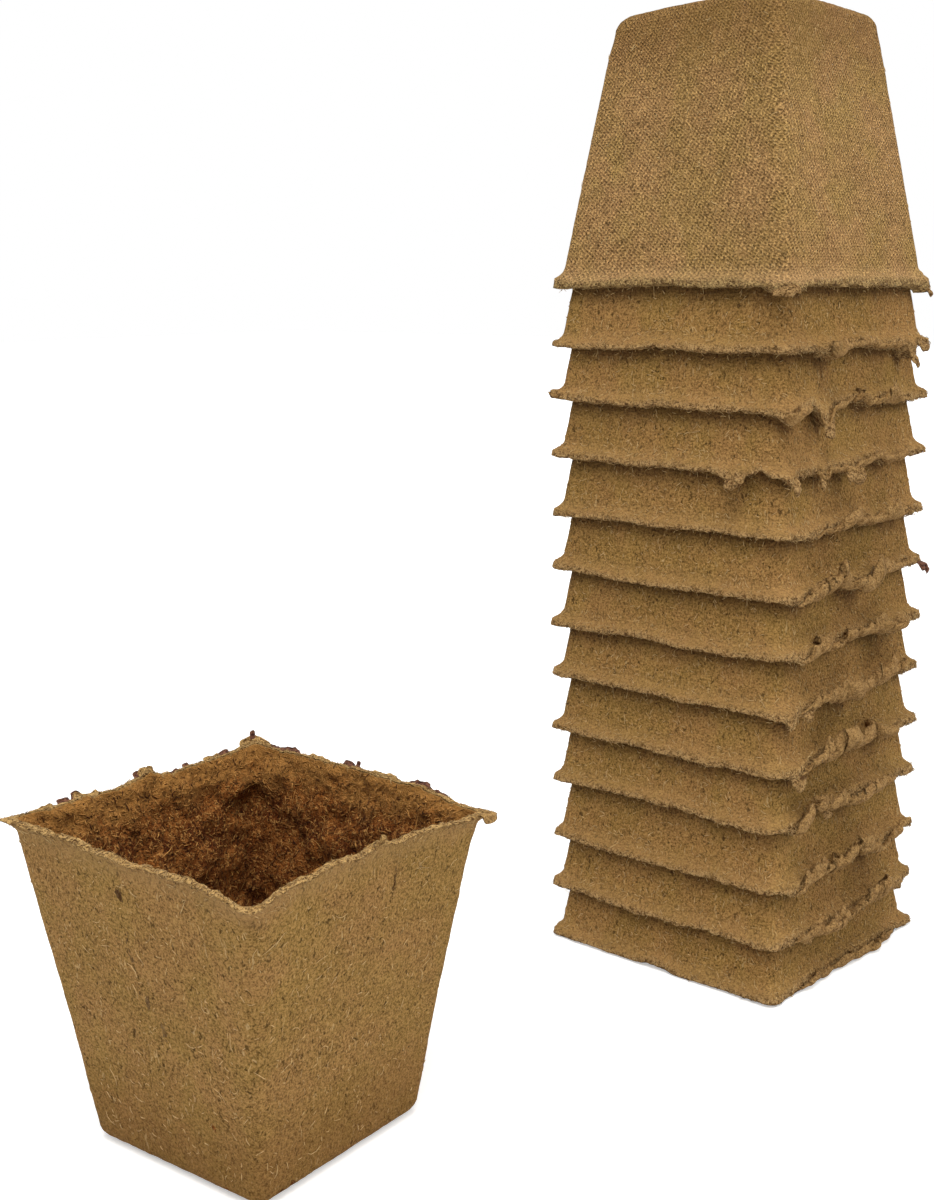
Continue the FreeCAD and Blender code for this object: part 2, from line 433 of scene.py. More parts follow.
    def shade(self):
        """Strength of the painted shadow that the rim of the pot above casts on this pot's outside, 0 to 1.
        """
        if self.above is None:
            return np.zeros_like(self.inside)
        above = self.above
        line = np.interp(self.places, above.places, above.lip.height, period=4)
        reach = np.interp(self.places, above.places, above.lip.reach, period=4)
        # Painted shadow: darkest just under the rim above, reaching further down where that rim stands out
        # further
        under = above.rim_level - line[None] - self.placed(self.grid)[..., 2]
        fade = np.where(under > 0, 1.6 + 0.8 * reach[None], 0.7)
        return np.exp(-((np.abs(under) / fade) ** 1.3)) * (1 - self.inside)

    def build(self, material):
        rows, count = self.grid.shape[:2]
        points = self.placed(self.grid).reshape(-1, 3)
        points = np.vstack([points, points[:count].mean(0), points[-count:].mean(0)])
        along = np.abs(self.places * SIDE % (2 * SIDE) - SIDE)
        fields = {
            "inside": self.inside,
            "edge": self.edge,
            "depth": self.depths,
            "shade": self.shade(),
            "along": np.repeat(along[None], rows, 0),
            "up": self.per_point(self.rows[:, LEVEL]),
        }
        for name, values in fields.items():
            fields[name] = np.append(values, [values[0, 0], values[-1, 0]])
        add_piece(self.node, "_shell", points, self.faces(), fields, material, replaces=True)


def add_piece(node, ending, points, faces, fields, material, replaces=False):
    """A smooth mesh on a node's body, from points in millimetres with a number per field."""
    mesh = bpy.data.meshes.new(node + ending)
    mesh.from_pydata((points * MM).tolist(), [], faces)
    for name, values in fields.items():
        data = mesh.attributes.new(name, "FLOAT", "POINT").data
        data.foreach_set("value", np.asarray(values, np.float32))
    mesh.polygons.foreach_set("use_smooth", np.ones(len(mesh.polygons), bool))
    mesh.update()
    mesh.materials.append(material)
    piece = bpy.data.objects.new(node + ending, mesh)
    bpy.context.scene.collection.objects.link(piece)
    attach(piece, node)
    if replaces:
        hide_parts(node)


# Torn strips of the lips
def strip_relief(front, rise, seed):
    """Relief of a strip's front: shaggy where it hangs, layered where it is folded up."""
    if rise < 0:
        return 0.30 * noise(front, 0.8, seed + 3, SHAGGY) + 0.2 * noise(front, 3.0, seed + 4)
    return 0.22 * noise(front, 1.3, seed + 3, LAYERED) + 0.45 * noise(front, 4.5, seed + 4, LAYERED)


def strip_points(pot, place, width, rise, out, thick, seed):
    """Front and back points of a torn strip."""
    wide = max(7, int(width / STRIP_STEP))
    tall = max(6, int(abs(rise) / STRIP_STEP) + 4)
    u = np.linspace(-1, 1, wide)
    v = np.linspace(0, 1, tall)[:, None]
    row = np.argmax(pot.rows[:, ZONE] == TORN) - 1
    columns = (place + u * width / 2 / SIDE) / 4 * len(pot.places)
    base, normal, _, _ = sample(pot, np.full(wide, float(row)), columns)
    outward = unit(normal * np.array([1, 1, 0]), 1e-6)
    run = np.stack([u * width / 2, 0 * u, 0 * u], -1)
    ends = 1 - u**6
    ragged = ends * (1 + 0.45 * noise(run, 5.0, seed) + 0.3 * noise(run, 1.5, seed + 1))
    body = ragged if rise < 0 else ends * (1 + 0.3 * noise(run, 9.0, seed + 5))
    drop = v * rise * (body + (ragged - body) * v**2)
    swing = np.sin(v * math.pi * 0.72) * (out * (1 + 0.4 * noise(run, 4, seed + 2)))
    swing = swing * np.clip(body, 0, 1.2) + 0.5 * np.minimum(v * 4, 1)
    path = base - outward * 0.5 + outward * swing[..., None] - np.array([0, 0, 1.0]) * drop[..., None]
    facing = unit(np.cross(np.gradient(path, axis=1), np.gradient(path, axis=0)), 1e-6)
    facing = facing * np.sign((facing * outward).sum(-1, keepdims=True) + 1e-9)
    bulk = thick * (1 - 0.7 * v**2) * np.clip(body, 0.15, 1)
    front = path + facing * (bulk * 0.5)[..., None]
    back = path - facing * (bulk * 0.5)[..., None]
    return front + facing * strip_relief(front, rise, seed)[..., None], back


def sheet_faces(base, tall, wide):
    """Faces of a closed sheet, its front points numbered before its back ones."""
    front = base + np.arange(tall * wide).reshape(tall, wide)
    quads = grid_quads(front)
    ring = np.concatenate([front[0], front[1:, -1], front[-1, -2::-1], front[-2:0:-1, 0]])
    after = np.roll(ring, -1)
    to_back = tall * wide
    sides = np.stack([after, ring, ring + to_back, after + to_back], -1)
    return quads.tolist() + (quads[:, ::-1] + to_back).tolist() + sides.tolist()


def strip_piece(pot, ending, strips, material):
    points, faces, edges = [], [], []
    base = 0
    for number, strip in enumerate(strips):
        front, back = strip_points(pot, *strip, pot.seed + 700 + 9 * number)
        tall, wide = front.shape[:2]
        points += [pot.placed(front).reshape(-1, 3), pot.placed(back).reshape(-1, 3)]
        faces += sheet_faces(base, tall, wide)
        hanging = strip[2] < 0
        edges.append(np.full(2 * tall * wide, 1.0 if hanging else LEDGE_EDGE))
        base += 2 * tall * wide
    fields = {"edge": np.concatenate(edges)}
    add_piece(pot.node, ending, np.vstack(points), faces, fields, material)


# Loose fibres, each a thin three-sided strand that follows the surface
def strands(
    pot, count, rows, length, width, lean, rise, seed,
    columns=None, tone=(0, 1), curl=0.6, steps=4, inside=0,
):
    """Centre lines, widths and tones of strands on a pot's grid, and whether they lie inside.

    Rows and columns give where they start. Length, width and tone are drawn between two values.
    """
    rng = np.random.default_rng(seed)
    j = rng.uniform(*rows, count)
    i = rng.uniform(0, len(pot.places), count)
    if columns is not None:
        i = rng.uniform(*columns, count) / 4 * len(pot.places)
    angle = rng.normal(0, lean, count) + rng.integers(0, 2, count) * math.pi
    size = rng.uniform(*length, count) * rng.uniform(0.6, 1.0, count)
    bend = rng.normal(0, curl, count)
    lift = rng.uniform(0, rise, count)
    dip = rng.uniform(-1, 1, count)
    centre = np.zeros((count, steps, 3))
    for k in range(steps):
        point, normal, per_row, per_column = sample(pot, j, i)
        t = k / (steps - 1)
        off = lift * (np.sin(math.pi * t) * (dip > 0) + t * t * (dip <= 0)) + width[0] * 0.2
        centre[:, k] = point + normal * off[:, None]
        step = size / (steps - 1)
        turn = angle + bend * (t - 0.5)
        j = np.clip(j + np.cos(turn) * step / per_row, rows[0] - 6, rows[1] + 6)
        i = i + np.sin(turn) * step / per_column
    return centre, rng.uniform(*width, count), rng.uniform(*tone, count), inside


def sample(pot, j, i):
    """Point, normal and millimetres per row and per column at fractional grid places."""
    rows, count = pot.grid.shape[:2]
    j = np.clip(j, 0, rows - 1.001)
    j0, i0 = np.floor(j).astype(int), np.floor(i).astype(int)
    fj, fi = (j - j0)[:, None], (i - i0)[:, None]
    a, b = i0 % count, (i0 + 1) % count
    p00, p01, p10, p11 = pot.grid[j0, a], pot.grid[j0, b], pot.grid[j0 + 1, a], pot.grid[j0 + 1, b]
    point = (p00 * (1 - fi) + p01 * fi) * (1 - fj) + (p10 * (1 - fi) + p11 * fi) * fj
    per_row, per_column = (np.maximum(np.linalg.norm(p - p00, axis=1), 0.12) for p in (p10, p01))
    return point, pot.normal[j0, a], per_row, per_column


def strand_points(centre, thick):
    """Three points round each step of each strand, closer together at its ends."""
    steps = centre.shape[1]
    direction = unit(np.gradient(centre, axis=1))
    helper = np.where(np.abs(direction[..., 2:]) < 0.8, [[[0.0, 0.0, 1.0]]], [[[1.0, 0.0, 0.0]]])
    side = unit(np.cross(direction, helper))
    other = np.cross(direction, side)
    taper = 0.25 + 0.75 * np.sin(np.pi * (np.arange(steps) + 0.35) / (steps - 0.3))
    radius = (thick[:, None] * taper[None] / 2)[..., None]
    turns = [2 * math.pi * k / 3 for k in range(3)]
    return np.stack([centre + radius * (math.cos(a) * side + math.sin(a) * other) for a in turns], 2)


def strand_faces(base, count, steps):
    """The three sides of each strand, then its two ends."""
    first = base + np.arange(count)[:, None, None] * steps * 3
    low = first + np.arange(steps - 1)[None, :, None] * 3
    k = np.arange(3)
    n = (k + 1) % 3
    quads = np.stack([low + k, low + n, low + n + 3, low + k + 3], -1).reshape(-1, 4)
    start = first[..., 0] + np.array([[2, 1, 0]])
    end = first[..., 0] + (steps - 1) * 3 + np.array([[0, 1, 2]])
    return quads.tolist() + start.tolist() + end.tolist()


def strand_piece(pot, ending, groups, material):
    points, faces, tones, insides = [], [], [], []
    base = 0
    for centre, thick, tone, inside in groups:
        count, steps = centre.shape[:2]
        points.append(strand_points(pot.placed(centre), thick).reshape(-1, 3))
        faces += strand_faces(base, count, steps)
        tones.append(np.repeat(tone, steps * 3))
        insides.append(np.full(count * steps * 3, float(inside)))
        base += count * steps * 3
    points = np.vstack(points)
    points[:, 2] = np.maximum(points[:, 2], 0.0)
    fields = {"tone": np.concatenate(tones), "inside": np.concatenate(insides)}
    add_piece(pot.node, ending, points, faces, fields, material)


# Materials
class Tree:
    """Short calls for building the node tree of a material or a world."""

    def __init__(self, owner):
        self.owner = owner
        owner.use_nodes = True
        self.tree = owner.node_tree
        self.tree.nodes.clear()

    def add(self, kind, values=(), settings=(), **sockets):
        """A new node. Values or links go to its first sockets and to the named ones."""
        made = self.tree.nodes.new(kind)
        for key, value in dict(settings).items():
            setattr(made, key, value)
        named = [(made.inputs[key.replace("_", " ")], value) for key, value in sockets.items()]
        for socket, value in [*zip(made.inputs, values), *named]:
            self.put(socket, value)
        return made

    def put(self, socket, value):
        if isinstance(value, bpy.types.NodeSocket):
            self.tree.links.new(value, socket)
        else:
            socket.default_value = value

    def attribute(self, name):
        return self.add("ShaderNodeAttribute", settings={"attribute_name": name}).outputs["Fac"]

    def place(self):
        return self.add("ShaderNodeTexCoord").outputs["Object"]

    def scaled(self, vector, by):
        return self.add("ShaderNodeVectorMath", (vector, by), {"operation": "MULTIPLY"}).outputs[0]

    def math(self, operation, *values):
        return self.add("ShaderNodeMath", values, {"operation": operation}).outputs[0]

    def plus(self, a, b):
        return self.math("ADD", a, b)

    def times(self, a, b):
        return self.math("MULTIPLY", a, b)

    def ramp(self, value, low, high, out_low=0.0, out_high=1.0):
        values = (value, low, high, out_low, out_high)
        return self.add("ShaderNodeMapRange", values, {"interpolation_type": "SMOOTHSTEP"}).outputs[0]

    def noise(self, vector, size, detail=2.0, rough=0.5, distortion=0.0):
        made = self.add(
            "ShaderNodeTexNoise",
            Vector=vector, Scale=1 / (size * MM), Detail=detail, Roughness=rough, Distortion=distortion,
        )
        return made.outputs[0]

    def mix(self, factor, a, b):
        made = self.add("ShaderNodeMix", (factor,), {"data_type": "RGBA"})
        self.put(made.inputs[6], a)
        self.put(made.inputs[7], b)
        return made.outputs[2]

    def coats(self, base, *layers):
        """Colours laid over a base, each where its field runs from low to high, up to a strength."""
        for field, low, high, strength, tint in layers:
            base = self.mix(self.ramp(field, low, high, 0.0, strength), base, tint)
        return base

    def finish(self, base, height, strength, distance, roughness, specular):
        """A dull surface with a bump, whose distance is in metres."""
        bump = self.add("ShaderNodeBump", Strength=strength, Distance=distance, Height=height)
        shader = self.add(
            "ShaderNodeBsdfPrincipled",
            Base_Color=base, Roughness=roughness, Specular_IOR_Level=specular, Normal=bump.outputs[0],
        )
        self.add("ShaderNodeOutputMaterial", Surface=shader.outputs[0])
        return self.owner


def colour(red, green, blue):
    """A linear colour from the usual 0 to 255 values."""
    linear = []
    for value in (red, green, blue):
        c = value / 255
        linear.append(c / 12.92 if c <= 0.04045 else ((c + 0.055) / 1.055) ** 2.4)
    return (*linear, 1.0)


def tinted(given, by):
    return tuple(min(1.0, a * b) for a, b in zip(given[:3], by)) + (1.0,)


# Colours of the pots' walls and torn lips: of the stack, its top pot and the standing pot
TAN_STACK = colour(157, 121, 69)
TAN_TOP = colour(189, 150, 95)
TAN_STANDING = colour(151, 117, 68)
LIP_STACK = colour(186, 149, 98)
LIP_TOP = colour(186, 154, 100)
LIP_STANDING = colour(212, 172, 110)

# Colours of the outside's blotches, fibres and crumbs, of its darker foot, and of painted shadow in the
# mesh pits and under the rim above
BLOTCH = colour(108, 78, 36)
DARK_GRAIN = colour(80, 56, 25)
DARK_SPECK = colour(58, 38, 14)
PALE_STRAW = colour(196, 164, 112)
BARK_CRUMB = colour(58, 33, 20)
# Painted shadow of the mesh pits
PAINTED_PIT_SHADOW = colour(70, 46, 20)
DARKER_FOOT = colour(110, 74, 30)
PAINTED_RIM_SHADOW = colour(56, 28, 12)

# Colours of the red-brown inside
INNER_DARK = colour(92, 46, 16)
INNER_PALE = colour(142, 85, 37)
INNER_TANGLE = colour(166, 110, 56)
INNER_THREAD = colour(200, 148, 84)
# Painted shadow of the inside's crevices
INNER_CREVICE_SHADOW = colour(40, 18, 8)
INNER_RIM = colour(174, 126, 66)

# Colours of the torn lip
TORN_GRAIN = colour(72, 44, 21)
TORN_STREAK = colour(202, 170, 116)
TORN_SPECK = colour(76, 44, 24)
TORN_LAYER = colour(66, 36, 18)


def fibre_fields(t):
    """Values of each point and noises shared by the parts of the pressed fibre."""
    place = t.place()
    return SimpleNamespace(
        **{name: t.attribute(name) for name in ("inside", "edge", "shade", "depth", "up")},
        place=place,
        patches=t.noise(place, 30, 3, 0.55),
        hues=t.noise(t.scaled(place, (1.3, 0.8, 1)), 16, 2, 0.6),
        blotches=t.noise(place, 5.0, 2, 0.6),
        streaks=t.noise(t.scaled(place, (1, 1, 0.6)), 1.6, 3, 0.7, 0.8),
        grain=t.noise(place, 0.6, 2, 0.8),
        specks=t.noise(t.scaled(place, (1, 1, 0.75)), 1.0, 1, 0.5, 0.6),
        pale=t.noise(t.scaled(place, (0.9, 1, 0.35)), 1.0, 1, 0.5, 1.2),
        crumbs=t.noise(place, 2.2, 1, 0.5),
        lumps=t.noise(place, 7, 2, 0.6),
        tangle=t.noise(t.scaled(place, (1, 1, 0.8)), 2.0, 3, 0.8, 0.6),
        threads=t.noise(place, 1.2, 2, 0.7, 1.2),
        tufts=t.noise(place, 2.4, 3, 0.7),
        layers=t.noise(t.scaled(place, (1, 0.3, 1.5)), 1.7, 3, 0.7, 0.4),
    )


def mesh_pits(t, f):
    """Pits that the press's mesh left, each about a millimetre across."""
    stir = t.add("ShaderNodeTexNoise", Vector=f.place, Scale=500.0, Detail=1.0)
    moved = (stir.outputs[1], (0.0005, 0.0005, 0.0005), f.place)
    warp = t.add("ShaderNodeVectorMath", moved, {"operation": "MULTIPLY_ADD"})
    cells = t.add(
        "ShaderNodeTexVoronoi", settings={"feature": "SMOOTH_F1"},
        Vector=warp.outputs[0], Scale=1 / (0.95 * MM), Smoothness=0.35, Randomness=0.6,
    )
    return t.ramp(cells.outputs["Distance"], 0.38, 0.62)


def mesh_rows(t, f, pits):
    """The pits with the mesh's slanting rows over them."""
    lean = t.plus(t.attribute("along"), t.times(f.up, 0.5))
    lean = t.plus(lean, t.times(t.noise(f.place, 6, 3), 3.0))
    across = t.math("SINE", t.times(lean, math.pi / 0.85))
    upward = t.math("SINE", t.times(f.up, math.pi / 0.72))
    net = t.ramp(t.times(across, upward), 0.0, 0.8)
    net = t.times(net, t.ramp(f.blotches, 0.35, 0.55, 0.55, 1.0))
    return t.plus(t.times(pits, 0.6), t.times(net, 0.9))


def wall_colour(t, f, wall, pits, pebble, speckle):
    """The outside: tan, mottled, flecked with dark and pale fibres, darker at the foot, and paler near the
    lip as painted light.
    """
    olive, rose = tinted(wall, (0.99, 1.02, 0.88)), tinted(wall, (1.08, 1.01, 1.07))
    base = t.coats(
        t.mix(t.ramp(f.hues, 0.36, 0.64), olive, rose),
        (f.patches, 0.38, 0.66, 0.35, tinted(wall, (0.80, 0.76, 0.70))),
        (f.blotches, 0.48, 0.68, 0.24 - 0.14 * pebble, BLOTCH),
        (f.streaks, 0.50, 0.68, 0.5 * speckle, tinted(wall, (1.42, 1.44, 1.46))),
        (f.grain, 0.52, 0.62, 0.62 * speckle, tinted(wall, (1.6, 1.62, 1.65))),
        (f.grain, 0.49, 0.37, 0.68 * speckle, DARK_GRAIN),
        (f.specks, 0.63, 0.72, 0.75 * speckle, DARK_SPECK),
        (f.pale, 0.68, 0.76, 0.75, PALE_STRAW),
        (f.crumbs, 0.82, 0.87, 0.8, BARK_CRUMB),
    )
    # Painted shadow in the mesh pits, standing in for the bump's shading
    base = t.mix(t.times(pits, 0.42 * pebble**1.6), base, PAINTED_PIT_SHADOW)
    return t.coats(
        base,
        # Darker towards the foot
        (f.up, 32.0, 3.0, 0.4, DARKER_FOOT),
        # Painted light: paler and cooler within 8 mm of the lip
        (f.depth, 8.0, 1.5, 0.36, tinted(wall, (1.32, 1.38, 1.72))),
    )


def hollow_colour(t, f):
    """The inside: red-brown tangled fibre with painted shadow in its crevices, paler towards the rim."""
    wavering = t.plus(f.depth, t.times(t.math("SUBTRACT", f.lumps, 0.5), 16.0))
    return t.coats(
        t.mix(t.ramp(f.lumps, 0.36, 0.64), INNER_DARK, INNER_PALE),
        (f.tangle, 0.47, 0.64, 0.85, INNER_TANGLE),
        (f.threads, 0.56, 0.66, 0.85, INNER_THREAD),
        # Painted shadow where the grain and the tangle sink lowest in the bump
        (f.grain, 0.49, 0.36, 0.9, INNER_CREVICE_SHADOW),
        (f.tangle, 0.42, 0.30, 0.85, INNER_CREVICE_SHADOW),
        (wavering, 12.0, 2.0, 0.72, INNER_RIM),
    )


def torn_colour(t, f, lip):
    """The torn lip: pale tufts with dark gaps and layers."""
    return t.coats(
        t.mix(t.ramp(f.tufts, 0.38, 0.56), tinted(lip, (0.62, 0.58, 0.52)), lip),
        (f.grain, 0.50, 0.38, 0.85, TORN_GRAIN),
        (f.streaks, 0.55, 0.68, 0.45, TORN_STREAK),
        (f.specks, 0.60, 0.70, 0.7, TORN_SPECK),
        (f.layers, 0.46, 0.34, 0.75, TORN_LAYER),
    )


def fibre_height(t, f, pits, pebble):
    """Height for the bump, roughest inside and on the torn lip."""
    height = t.plus(f.grain, t.times(f.streaks, 0.6))
    height = t.plus(height, t.times(f.specks, -0.5))
    height = t.plus(height, t.times(pits, -1.4 * pebble))
    rough = t.times(t.plus(f.tangle, f.threads), t.math("MAXIMUM", f.inside, f.edge))
    return t.plus(height, t.times(rough, 1.6))


def pressed_fibre(name, wall, lip, pebble, speckle, rows=False):
    """Pressed peat fibre. Pebble is the depth of its mesh print, speckle the strength of its flecks."""
    t = Tree(bpy.data.materials.new(name))
    f = fibre_fields(t)
    pits = mesh_pits(t, f)
    if rows:
        pits = mesh_rows(t, f, pits)
    base = t.mix(f.inside, wall_colour(t, f, wall, pits, pebble, speckle), hollow_colour(t, f))
    base = t.mix(t.ramp(f.edge, 0.25, 0.9, 0, 0.9), base, torn_colour(t, f, lip))
    # Painted shadow on the outside just under the rim of the pot above
    base = t.coats(base, (f.shade, 0.08, 0.85, 0.62, PAINTED_RIM_SHADOW))
    return t.finish(base, fibre_height(t, f, pits, pebble), 1.0, 0.0006, 0.95, 0.1)


def bark_scraps():
    t = Tree(bpy.data.materials.new("bark_scraps"))
    grain = t.noise(t.place(), 0.8, 2, 0.7)
    base = t.mix(t.ramp(grain, 0.36, 0.64), colour(52, 27, 22), colour(122, 82, 62))
    return t.finish(base, grain, 0.6, 0.0003, 0.85, 0.2)


def loose_fibre():
    t = Tree(bpy.data.materials.new("loose_fibre"))
    tone = t.attribute("tone")
    grain = t.noise(t.place(), 0.8, 2, 0.6)
    outer = t.mix(t.ramp(tone, 0.0, 0.7), colour(74, 46, 21), colour(204, 170, 116))
    inner = t.mix(t.ramp(tone, 0.05, 0.9), colour(60, 27, 10), colour(200, 146, 80))
    base = t.coats(t.mix(t.attribute("inside"), outer, inner), (grain, 0.4, 0.65, 0.35, colour(84, 54, 26)))
    return t.finish(base, grain, 0.4, 0.0001, 0.85, 0.15)


# Torn places of each rim, from the lowest pot up. Each is a place along the rim (0 is the left
# corner as photographed, 1 the near corner, 2 the right one, 3 the far one), a width, and how far
# it hangs on past the rim, stands out from it and rolls back up, in millimetres.
TORN_PLACES = (
    ((1.55, 7, 0, 0.6, 0.3), (0.95, 5, 0, 0.4, 0.2), (1.97, 3, 0, 0.6, 0.6)),
    ((1.32, 5, 1, 2.2, 0.2), (1.62, 6, -1.4, 2.4, 0.6), (1.86, 4, 1.2, 1, 0),
     (0.3, 8, 0.5, 0.3, 0)),
    ((1.12, 5, 1.2, 1.4, 0), (1.50, 3.5, -2.8, 1.6, 0.8), (1.68, 5, 1.4, 1.2, 0),
     (1.9, 3, -1.6, 1.8, 1)),
    ((1.22, 3.5, -3, 0.8, 0.6), (1.12, 3, 1.6, 1.2, 0), (1.55, 8, 0.6, 1.8, 0.3),
     (0.85, 10, 0.6, 0.3, 0)),
    ((1.10, 4, 1.6, 1.4, 0), (1.40, 5, -2.2, 2.6, 0.8), (1.72, 6, 0.6, 1.6, 0.3),
     (0.7, 8, 0.3, 0.3, 0)),
    ((1.06, 4, 2.4, 1.2, 0), (1.26, 4, -2, 1, 0.4), (1.45, 5, 1.4, 2.2, 0.2),
     (1.75, 6, -1.6, 2.4, 0.8)),
    ((1.15, 5, 1.6, 1.6, 0.2), (1.42, 4, -1.4, 0.8, 0), (1.76, 7, 0.8, 1.8, 0.2),
     (0.55, 9, 0.6, 0.3, 0)),
    ((1.10, 5, 1.2, 1, 0.2), (1.33, 3, -2.6, 0.8, 0.4), (1.52, 5, 1.8, 2.4, 0.4),
     (1.82, 4, -1, 1.6, 0.8)),
    ((1.80, 6, 0.8, 1.4, 0.3), (1.45, 5, -0.8, 0.8, 0), (1.1, 8, 0.5, 0.3, 0)),
    ((0.80, 4, 1.8, 0.8, 0), (0.91, 3, -1.6, 0, 0), (1.04, 2, 2.6, 0.6, 0),
     (1.24, 1.6, 2.8, 0.5, 0), (1.42, 3.5, 1.4, 1.4, 0), (1.60, 4, -1.4, 0.6, 0.3)),
    ((1.03, 3.5, 2.6, 1.6, 0.3), (1.15, 3, -1.4, 0.6, 0), (1.24, 2.5, 4.4, 1, 0),
     (1.45, 5, -2.2, 0.8, 0.3), (0.02, 3, -0.4, 0.4, 1.2)),
    ((1.25, 3.5, 1.8, 2.4, 0.6), (1.50, 5, -1.6, 0.6, 0.2), (1.84, 2.5, 3.4, 0.8, 0),
     (0.6, 9, 0.4, 0.2, 0)),
    ((0.96, 4, 1.2, 0.5, 0.2), (1.08, 2, 1.6, 0.6, 0), (1.96, 2, 1.8, 0.4, 0),
     (0.45, 14, -0.6, 0, 0)),
)
# Torn strips of each pot: place, width, length (folded up the wall, or below zero hanging on), how
# far it stands out and how thick it is, in millimetres
STRIPS = (
    ((1.30, 12, 3, 1.9, 1.5), (1.70, 14, 3.2, 1.9, 1.5), (1.50, 56, 2.2, 1.4, 1.5)),
    ((1.36, 12, 5.5, 3.1, 1.7), (1.60, 16, 5.6, 2.8, 1.8), (1.20, 6, -2.1, 1, 1.3),
     (1.48, 60, 3.2, 2, 1.7)),
    ((1.22, 15, 4.5, 2.6, 1.6), (1.56, 5, 4.8, 2.9, 1.2), (1.80, 9, 4.2, 2.2, 1.5),
     (1.46, 58, 3.4, 2.1, 1.7)),
    ((1.52, 17, 4.5, 2.6, 1.6), (1.13, 6, 4.2, 2.4, 1.3), (1.30, 5, -2.3, 1.2, 1.2),
     (1.46, 60, 3.2, 2, 1.6)),
    ((1.32, 14, 5.5, 3.6, 1.6), (1.62, 16, 4.4, 2.2, 1.5), (1.10, 6, -1.9, 1.2, 1.3),
     (1.47, 60, 3.4, 2.1, 1.7)),
    ((1.18, 9, -2.5, 1.7, 1.5), (1.44, 12, 4.8, 2.9, 1.6), (1.66, 14, 5.2, 2.7, 1.6),
     (1.46, 58, 3.2, 2.1, 1.7)),
    ((1.68, 15, 4, 2.2, 1.5), (1.22, 13, 3.8, 2.2, 1.4), (1.48, 60, 3, 1.9, 1.6)),
    ((1.60, 16, 5.8, 2.9, 1.7), (1.22, 12, 3.8, 2.2, 1.4), (1.84, 6, 2.6, 1.4, 1.3),
     (1.46, 60, 3.4, 2.1, 1.7)),
    ((1.70, 13, 3.8, 2.2, 1.5), (1.40, 10, 3.2, 2, 1.3), (1.52, 52, 2.2, 1.5, 1.4)),
    ((1.42, 7, -2.9, 1.7, 1.5), (0.82, 6, -1.9, 1.2, 1.4), (1.05, 3, -2.7, 1, 0.9),
     (1.75, 12, 3, 2.2, 1.3), (1.22, 2.4, -3.2, 1, 0.8), (1.50, 50, 1.4, 1.1, 1.2)),
    ((1.04, 6, 3.8, 2.9, 1.7), (1.25, 5, -4.8, 1.4, 1.3), (0.03, 3, 1.6, 0.8, 1.2),
     (1.68, 12, 3.5, 2.2, 1.3), (1.50, 50, 1.6, 1.1, 1.2)),
    ((1.26, 6, 3.5, 3.1, 1.8), (1.84, 3.5, -3.8, 1.2, 1), (1.93, 5, -1.9, 1.2, 1.2),
     (1.55, 44, 1.4, 1, 1.2)),
    ((1.00, 8, -1.5, 1.1, 1.3), (1.97, 2.5, -1.9, 0.5, 0.8)),
)
# The pot with two dark scraps at its right corner, counted from the lowest, which is 0
SCRAPS_POT = 7
STACK_SCRAPS = ((1.965, 2, -2.4, 1.4, 0.8), (1.985, 1.4, -3, 3.2, 0.7))
# Dark scraps on the standing pot's rim, most of them thin slivers lying along it
SCRAPS = (
    (3.003, 1.5, -4, 0.3, 0.9), (2.97, 3, -1, 0.5, 0.8), (2.905, 7, -0.7, 0.4, 0.6),
    (2.84, 8, -0.8, 0.5, 0.6), (2.575, 4, -1.2, 0.6, 0.8), (2.54, 1.4, -1.7, 0.5, 0.6),
    (2.27, 8, -0.6, 0.4, 0.5), (2.19, 5, -0.6, 0.4, 0.5), (3.36, 4.5, -0.7, 0.4, 0.6),
    (3.50, 1.8, -1.6, 0.6, 0.6), (3.725, 3.6, -0.9, 0.7, 0.6), (3.745, 1.4, -1.4, 0.6, 0.5),
    (3.78, 3.6, -0.8, 0.4, 0.6), (3.30, 2.4, -0.8, 0.3, 0.6), (3.13, 4, -0.7, 0.3, 0.7),
)
# Pale torn strips on the same rim
STANDING_STRIPS = (
    (3.465, 5.5, -1.4, 0.6, 1.1), (3.445, 2.2, -1.9, 0.7, 0.9), (3.18, 6, -1.2, 0.5, 1.2),
    (1.50, 2.6, -1.9, 0.4, 1), (3.70, 8, -0.9, 0.5, 1.2), (2.97, 7, -1.1, 0.4, 1.1),
    (1.97, 4, 1.5, 0.5, 0.9), (2.70, 8, -0.8, 0.4, 1), (2.42, 9, -0.7, 0.4, 1),
    (3.86, 7, -0.8, 0.4, 1), (3.02, 6, -0.9, 0.4, 1.1),
)
# Torn places of its rim: a low near corner, a lower right one and a raised left one come first
STANDING_TORN_PLACES = (
    (1, 9, -2.7, -0.2, 0), (2, 26, -3.2, 0, 0), (0, 24, 1.2, 0, 0),
    (1.5, 2.5, 1, 0.2, 0), (3.47, 3, 1.5, 0.2, 0), (2.97, 4, 0.8, 0.2, 0),
    (3.74, 3, 0.7, 0, 0), (2.24, 7, 0.9, 0, 0), (1.22, 2.4, -0.8, 0, 0),
    (0.55, 3, -0.7, 0, 0), (0.30, 3.5, 0.6, 0, 0), (2.02, 3, -0.4, 0.8, 0.5),
)
# Ridges of its inside: place along the rim, width, depth, height and how far each stands out
RIDGES = (
    (3, 7.5, 8, 2, 1.2), (3, 7, 14, 4, -1.2), (3.25, 9, 26, 5, 1.4),
    (2.6, 8, 20, 4, 1.6), (2.85, 5, 34, 6, 1.8), (3.5, 9, 30, 6, 1.2),
)

